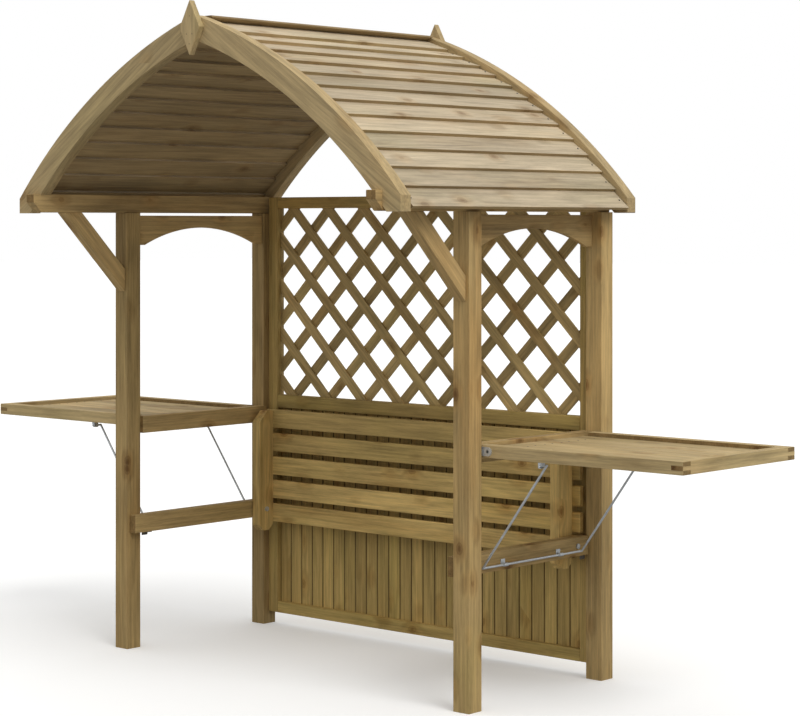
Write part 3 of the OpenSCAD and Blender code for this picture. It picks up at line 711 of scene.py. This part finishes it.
class ARBOUR_OT_tables(bpy.types.Operator):
    """Side tables"""

    bl_idname = "arbour.tables"
    bl_label = "Side Tables"

    def execute(self, context):
        wood = kinds()["table"]
        for side, sign in SIDES:
            low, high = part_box(f"{side}_table_frame")
            inner, outer = sorted((abs(low.x), abs(high.x)))
            third = RAIL / 3
            mesh = bmesh.new()
            cheeks = [(inner, low.z), (outer, low.z), (outer, low.z + third),
                      (outer - RAIL, low.z + third), (outer - RAIL, high.z - third),
                      (outer, high.z - third), (outer, high.z), (inner, high.z)]
            for y in (low.y, high.y - RAIL):
                add_prism(mesh, [(sign * x, y, z) for x, z in cheeks], ALONG_Y * RAIL,
                          settings().board_ease)
            tenon = [(low.y, low.z + third), (low.y + RAIL, low.z + third),
                     (low.y + RAIL, low.z), (high.y - RAIL, low.z),
                     (high.y - RAIL, low.z + third), (high.y, low.z + third),
                     (high.y, high.z - third), (high.y - RAIL, high.z - third),
                     (high.y - RAIL, high.z), (low.y + RAIL, high.z),
                     (low.y + RAIL, high.z - third), (low.y, high.z - third)]
            add_prism(mesh, [(sign * (outer - RAIL), y, z) for y, z in tenon],
                      ALONG_X * sign * RAIL, 0.0008)
            b_low, b_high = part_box(f"{side}_table_boards")
            x0, x1 = sorted((sign * CROSS_RAIL, sign * (CROSS_RAIL + RAIL)))
            add_block(mesh, (x0, low.y + RAIL, low.z), (x1, high.y - RAIL, b_low.z), 0.0015)

            def rail(centre, low=low, high=high, outer=outer):
                between = low.y + RAIL - 2e-3 < centre.y < high.y - RAIL + 2e-3
                in_tenon = (abs(centre.x) > outer - RAIL - 1e-3
                            and low.z + third - 1e-4 < centre.z < high.z - third + 1e-4)
                if between or in_tenon and abs(centre.x) < outer - 2e-3:
                    return ALONG_Y, 2 if abs(centre.x) > 1.2 else 3
                return ALONG_X, 0 if centre.y < 0.167 else 1
            mark_boards(mesh, rail, side)
            finish_piece(f"{side}_table_frame_timber", mesh, wood, f"{side}_table",
                         f"{side}_table_frame")
            low, high = b_low, b_high
            pitch = (high.y - low.y + 0.003) / 6
            eased_board(f"{side}_table_boards", wood, f"{side}_table",
                        lambda c, y=low.y, p=pitch: (ALONG_X, math.floor((c.y - y) / p)), 0.0015)
            nails = []
            for i in range(6):
                for x in (CROSS_RAIL + RAIL / 2, outer - RAIL - 0.02):
                    for share in (0.28, 0.72):
                        y = low.y + (i + share) * pitch
                        nails.append(((sign * x, y, high.z - 0.0004), ALONG_Z))
            add_heads(f"{side}_table_nails", nails, settings().nail_radius, 0.0010,
                      f"{side}_table", nail_steel())
        return {"FINISHED"}


class ARBOUR_OT_metalwork(bpy.types.Operator):
    """Straps, catches, bails, clips, pins and bolts"""

    bl_idname = "arbour.metalwork"
    bl_label = "Metalwork"

    def execute(self, context):
        finish = zinc("Galvanised steel", settings().zinc[:3])
        nodes = ["seat_pivot_bolts", "table_pivot_pins", "bail_clips"]
        for side, _ in SIDES:
            nodes += [f"{side}_table_straps", f"{side}_bail"]
        for node in nodes:
            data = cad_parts[node].data
            data.materials.clear()
            data.materials.append(finish)
        dark = zinc("Weathered zinc", (0.20, 0.19, 0.17), 0.6)
        mesh = bmesh.new()
        for side, sign in SIDES:
            low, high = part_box(f"{side}_seat_rail")
            for y in (-0.116, 0.450):
                x0, x1 = sorted((sign * 0.694, sign * 0.722))
                add_block(mesh, (x0, y - 0.0125, low.z - 0.003), (x1, y + 0.0125, low.z), 0.0005)
                x0, x1 = sorted((sign * 0.716, sign * 0.719))
                add_block(mesh, (x0, y - 0.0125, low.z - 0.014), (x1, y + 0.0125, low.z), 0.0005)
        finish_piece("seat_rail_brackets", mesh, dark, "frame")
        for side, sign in SIDES:
            low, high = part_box(f"{side}_table_straps")
            heads = []
            for y, out in ((low.y, -ALONG_Y), (high.y, ALONG_Y)):
                heads.append(((sign * 0.7975, y - out.y * 0.0022, 0.771), out))
            add_heads(f"{side}_strap_rivets", heads, 0.006, 0.0022, f"{side}_table", finish, 16)
        return {"FINISHED"}


class ARBOUR_PT_panel(bpy.types.Panel):
    """Lists the arbour's settings and pieces"""

    bl_label = "Garden Arbour"
    bl_idname = "ARBOUR_PT_panel"
    bl_space_type = "VIEW_3D"
    bl_region_type = "UI"
    bl_category = "Arbour"

    def draw(self, context):
        layout = self.layout
        for group in (context.scene.arbour_camera, context.scene.arbour_studio,
                      context.scene.arbour_timber):
            box = layout.box()
            for name in group.__annotations__:
                box.prop(group, name)
        for operator in OPERATORS:
            layout.operator(operator.bl_idname)


OPERATORS = (ARBOUR_OT_studio, ARBOUR_OT_posts, ARBOUR_OT_gables, ARBOUR_OT_roof,
             ARBOUR_OT_panel, ARBOUR_OT_seat, ARBOUR_OT_tables, ARBOUR_OT_metalwork)
GROUPS = (ArbourCameraSettings, ArbourStudioSettings, ArbourTimberSettings)


def register():
    for made in GROUPS + OPERATORS + (ARBOUR_PT_panel,):
        bpy.utils.register_class(made)
    bpy.types.Scene.arbour_camera = bpy.props.PointerProperty(type=ArbourCameraSettings)
    bpy.types.Scene.arbour_studio = bpy.props.PointerProperty(type=ArbourStudioSettings)
    bpy.types.Scene.arbour_timber = bpy.props.PointerProperty(type=ArbourTimberSettings)


def unregister():
    del bpy.types.Scene.arbour_timber
    del bpy.types.Scene.arbour_studio
    del bpy.types.Scene.arbour_camera
    for made in reversed(GROUPS + OPERATORS + (ARBOUR_PT_panel,)):
        bpy.utils.unregister_class(made)


def main():
    register()
    bpy.ops.arbour.studio()
    bpy.ops.arbour.posts()
    bpy.ops.arbour.gables()
    bpy.ops.arbour.roof()
    bpy.ops.arbour.panel()
    bpy.ops.arbour.seat()
    bpy.ops.arbour.tables()
    bpy.ops.arbour.metalwork()
    bpy.context.view_layer.update()


if __name__ == "__main__":
    main()
